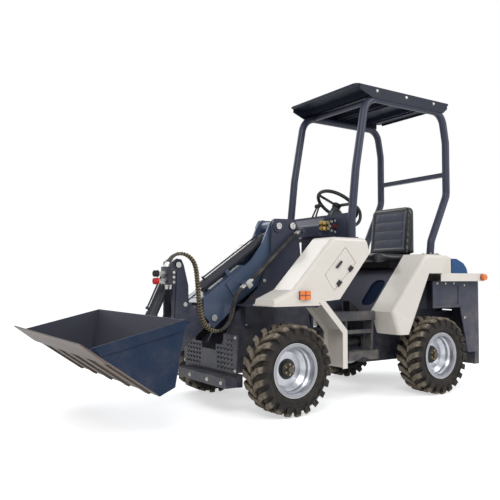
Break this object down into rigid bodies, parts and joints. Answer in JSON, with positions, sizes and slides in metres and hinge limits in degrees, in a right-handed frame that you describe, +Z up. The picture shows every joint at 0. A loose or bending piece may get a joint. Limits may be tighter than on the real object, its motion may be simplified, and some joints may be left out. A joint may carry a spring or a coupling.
{
  "type": "wheel loader",
  "caption": "Compact articulated wheel loader with a telescopic boom, open operator station under a roll-over frame and a general-purpose bucket.",
  "frame": {"origin": "centre of the overall box in plan, on the ground under the tyres", "axes": "+X forward towards the bucket, +Y to the operator's left, +Z up"},
  "size_m": [3.555, 1.4, 2.32],
  "materials": {
    "structure_paint": "satin",
    "boom_paint": "satin",
    "bucket_paint": "gloss",
    "cover_paint": "gloss",
    "hood_paint": "gloss",
    "lamp_lens": "gloss",
    "cylinder_paint": "satin",
    "rod_chrome": "polished",
    "coupler_steel": "satin",
    "control_plastic": "matte",
    "seat_vinyl": "satin",
    "engine_iron": "matte",
    "hose_rubber": "matte",
    "tyre_rubber": "matte",
    "rim_paint": "satin"
  },
  "bodies": {
    "rear_frame": {"rear_chassis": "structure_paint", "operator_platform": "structure_paint", "console": "structure_paint", "control_levers": "control_plastic", "pedals": "control_plastic", "seat_base": "structure_paint", "seat_cushion": "seat_vinyl", "seat_backrest": "seat_vinyl", "rops_frame": "structure_paint", "canopy_roof": "structure_paint", "leg_shield_left": "cover_paint", "leg_shield_right": "cover_paint", "rear_cover": "cover_paint", "rear_panels": "structure_paint", "rear_lamps": "lamp_lens", "engine_block": "engine_iron", "rear_bumper": "structure_paint", "rear_wheel_motors": "structure_paint"},
    "front_frame": {"front_chassis": "structure_paint", "front_guard": "structure_paint", "front_cover_left": "cover_paint", "front_cover_right": "cover_paint", "front_lamps": "lamp_lens", "front_wheel_motors": "structure_paint", "tower_hose_inner": "hose_rubber", "tower_hose_outer": "hose_rubber"},
    "boom": {"outer_boom": "boom_paint", "extend_cylinder_barrel": "cylinder_paint", "loop_hose_inner": "hose_rubber", "loop_hose_outer": "hose_rubber"},
    "inner_boom": {"inner_boom": "structure_paint", "extend_cylinder_rod": "rod_chrome", "hydraulic_couplers": "coupler_steel"},
    "bucket": {"bucket": "bucket_paint", "tool_carrier": "structure_paint"},
    "lift_barrel": {"lift_cylinder_barrel": "cylinder_paint"},
    "lift_rod": {"lift_cylinder_rod": "rod_chrome"},
    "tilt_barrel": {"tilt_cylinder_barrel": "cylinder_paint"},
    "tilt_rod": {"tilt_cylinder_rod": "rod_chrome"},
    "steer_barrel": {"steer_cylinder_barrel": "cylinder_paint"},
    "steer_rod": {"steer_cylinder_rod": "rod_chrome"},
    "steering_wheel": {"steering_wheel": "control_plastic"},
    "engine_hood": {"engine_hood": "hood_paint"},
    "hatch_left": {"front_hatch_left": "cover_paint"},
    "hatch_right": {"front_hatch_right": "cover_paint"},
    "wheel_front_left": {"tyre_front_left": "tyre_rubber", "rim_front_left": "rim_paint"},
    "wheel_front_right": {"tyre_front_right": "tyre_rubber", "rim_front_right": "rim_paint"},
    "wheel_rear_left": {"tyre_rear_left": "tyre_rubber", "rim_rear_left": "rim_paint"},
    "wheel_rear_right": {"tyre_rear_right": "tyre_rubber", "rim_rear_right": "rim_paint"}
  },
  "joints": [
    {"name": "steer", "type": "hinge", "parent": "rear_frame", "child": "front_frame", "pos_m": [-0.33798, 0, 0.39], "axis": [0, 0, 1], "range_deg": [-35, 35]},
    {"name": "boom_lift", "type": "hinge", "parent": "front_frame", "child": "boom", "pos_m": [0.13952, 0, 1.255], "axis": [0, -1, 0], "range_deg": [-7, 75], "deforming": ["tower_hose_inner", "tower_hose_outer"]},
    {"name": "boom_extend", "type": "slide", "parent": "boom", "child": "inner_boom", "axis": [0.8241, 0, -0.5664], "range_m": [0, 0.3], "deforming": ["loop_hose_inner", "loop_hose_outer"]},
    {"name": "bucket_tilt", "type": "hinge", "parent": "inner_boom", "child": "bucket", "pos_m": [1.05452, 0, 0.385], "axis": [0, 1, 0], "range_deg": [-3, 80]},
    {"name": "lift_barrel_swing", "type": "hinge", "parent": "front_frame", "child": "lift_barrel", "pos_m": [-0.09549, 0, 0.3], "axis": [0, -1, 0], "range_deg": [-5, 5]},
    {"name": "lift_rod_stroke", "type": "slide", "parent": "lift_barrel", "child": "lift_rod", "axis": [0.5065, 0, 0.8622], "range_m": [-0.045, 0.43]},
    {"name": "tilt_barrel_swing", "type": "hinge", "parent": "inner_boom", "child": "tilt_barrel", "pos_m": [0.92451, 0, 0.965], "axis": [0, -1, 0], "range_deg": [-1, 8]},
    {"name": "tilt_rod_stroke", "type": "slide", "parent": "tilt_barrel", "child": "tilt_rod", "axis": [0.428, 0, -0.9038], "range_m": [-0.012, 0.245]},
    {"name": "steer_barrel_swing", "type": "hinge", "parent": "rear_frame", "child": "steer_barrel", "pos_m": [-0.65599, 0.15, 0.39], "axis": [0, 0, 1], "range_deg": [-11, 11]},
    {"name": "steer_rod_stroke", "type": "slide", "parent": "steer_barrel", "child": "steer_rod", "axis": [0.999, 0.0444, 0], "range_m": [-0.1, 0.1]},
    {"name": "steering_wheel_turn", "type": "hinge", "parent": "rear_frame", "child": "steering_wheel", "pos_m": [-0.52548, 0, 1.46], "axis": [-0.6018, 0, 0.7986], "range_deg": [-460, 460]},
    {"name": "engine_hood_hinge", "type": "hinge", "parent": "rear_frame", "child": "engine_hood", "pos_m": [-1.35048, 0, 1.035], "axis": [0, 1, 0], "range_deg": [0, 60]},
    {"name": "front_hatch_left_hinge", "type": "hinge", "parent": "front_frame", "child": "hatch_left", "pos_m": [-0.06048, 0.6063, 0.8865], "axis": [-0.7268, 0, 0.6868], "range_deg": [0, 100]},
    {"name": "front_hatch_right_hinge", "type": "hinge", "parent": "front_frame", "child": "hatch_right", "pos_m": [-0.06048, -0.6063, 0.8865], "axis": [0.7268, 0, -0.6868], "range_deg": [0, 100]},
    {"name": "wheel_front_left_spin", "type": "hinge", "parent": "front_frame", "child": "wheel_front_left", "pos_m": [0.35452, 0.507, 0.292], "axis": [0, 1, 0], "continuous": true},
    {"name": "wheel_front_right_spin", "type": "hinge", "parent": "front_frame", "child": "wheel_front_right", "pos_m": [0.35452, -0.507, 0.292], "axis": [0, 1, 0], "continuous": true},
    {"name": "wheel_rear_left_spin", "type": "hinge", "parent": "rear_frame", "child": "wheel_rear_left", "pos_m": [-1.03049, 0.507, 0.292], "axis": [0, 1, 0], "continuous": true},
    {"name": "wheel_rear_right_spin", "type": "hinge", "parent": "rear_frame", "child": "wheel_rear_right", "pos_m": [-1.03049, -0.507, 0.292], "axis": [0, 1, 0], "continuous": true}
  ],
  "couplings": [
    {"joint": "lift_barrel_swing", "follows": "boom_lift", "ratio": -0.036},
    {"joint": "lift_rod_stroke", "follows": "boom_lift", "m_per_rad": 0.326},
    {"joint": "tilt_barrel_swing", "follows": "bucket_tilt", "ratio": 0.076},
    {"joint": "tilt_rod_stroke", "follows": "bucket_tilt", "m_per_rad": 0.173},
    {"joint": "steer_barrel_swing", "follows": "steer", "ratio": 0.294},
    {"joint": "steer_rod_stroke", "follows": "steer", "m_per_rad": -0.16},
    {"joint": "steering_wheel_turn", "follows": "steer", "ratio": 13}
  ]
}
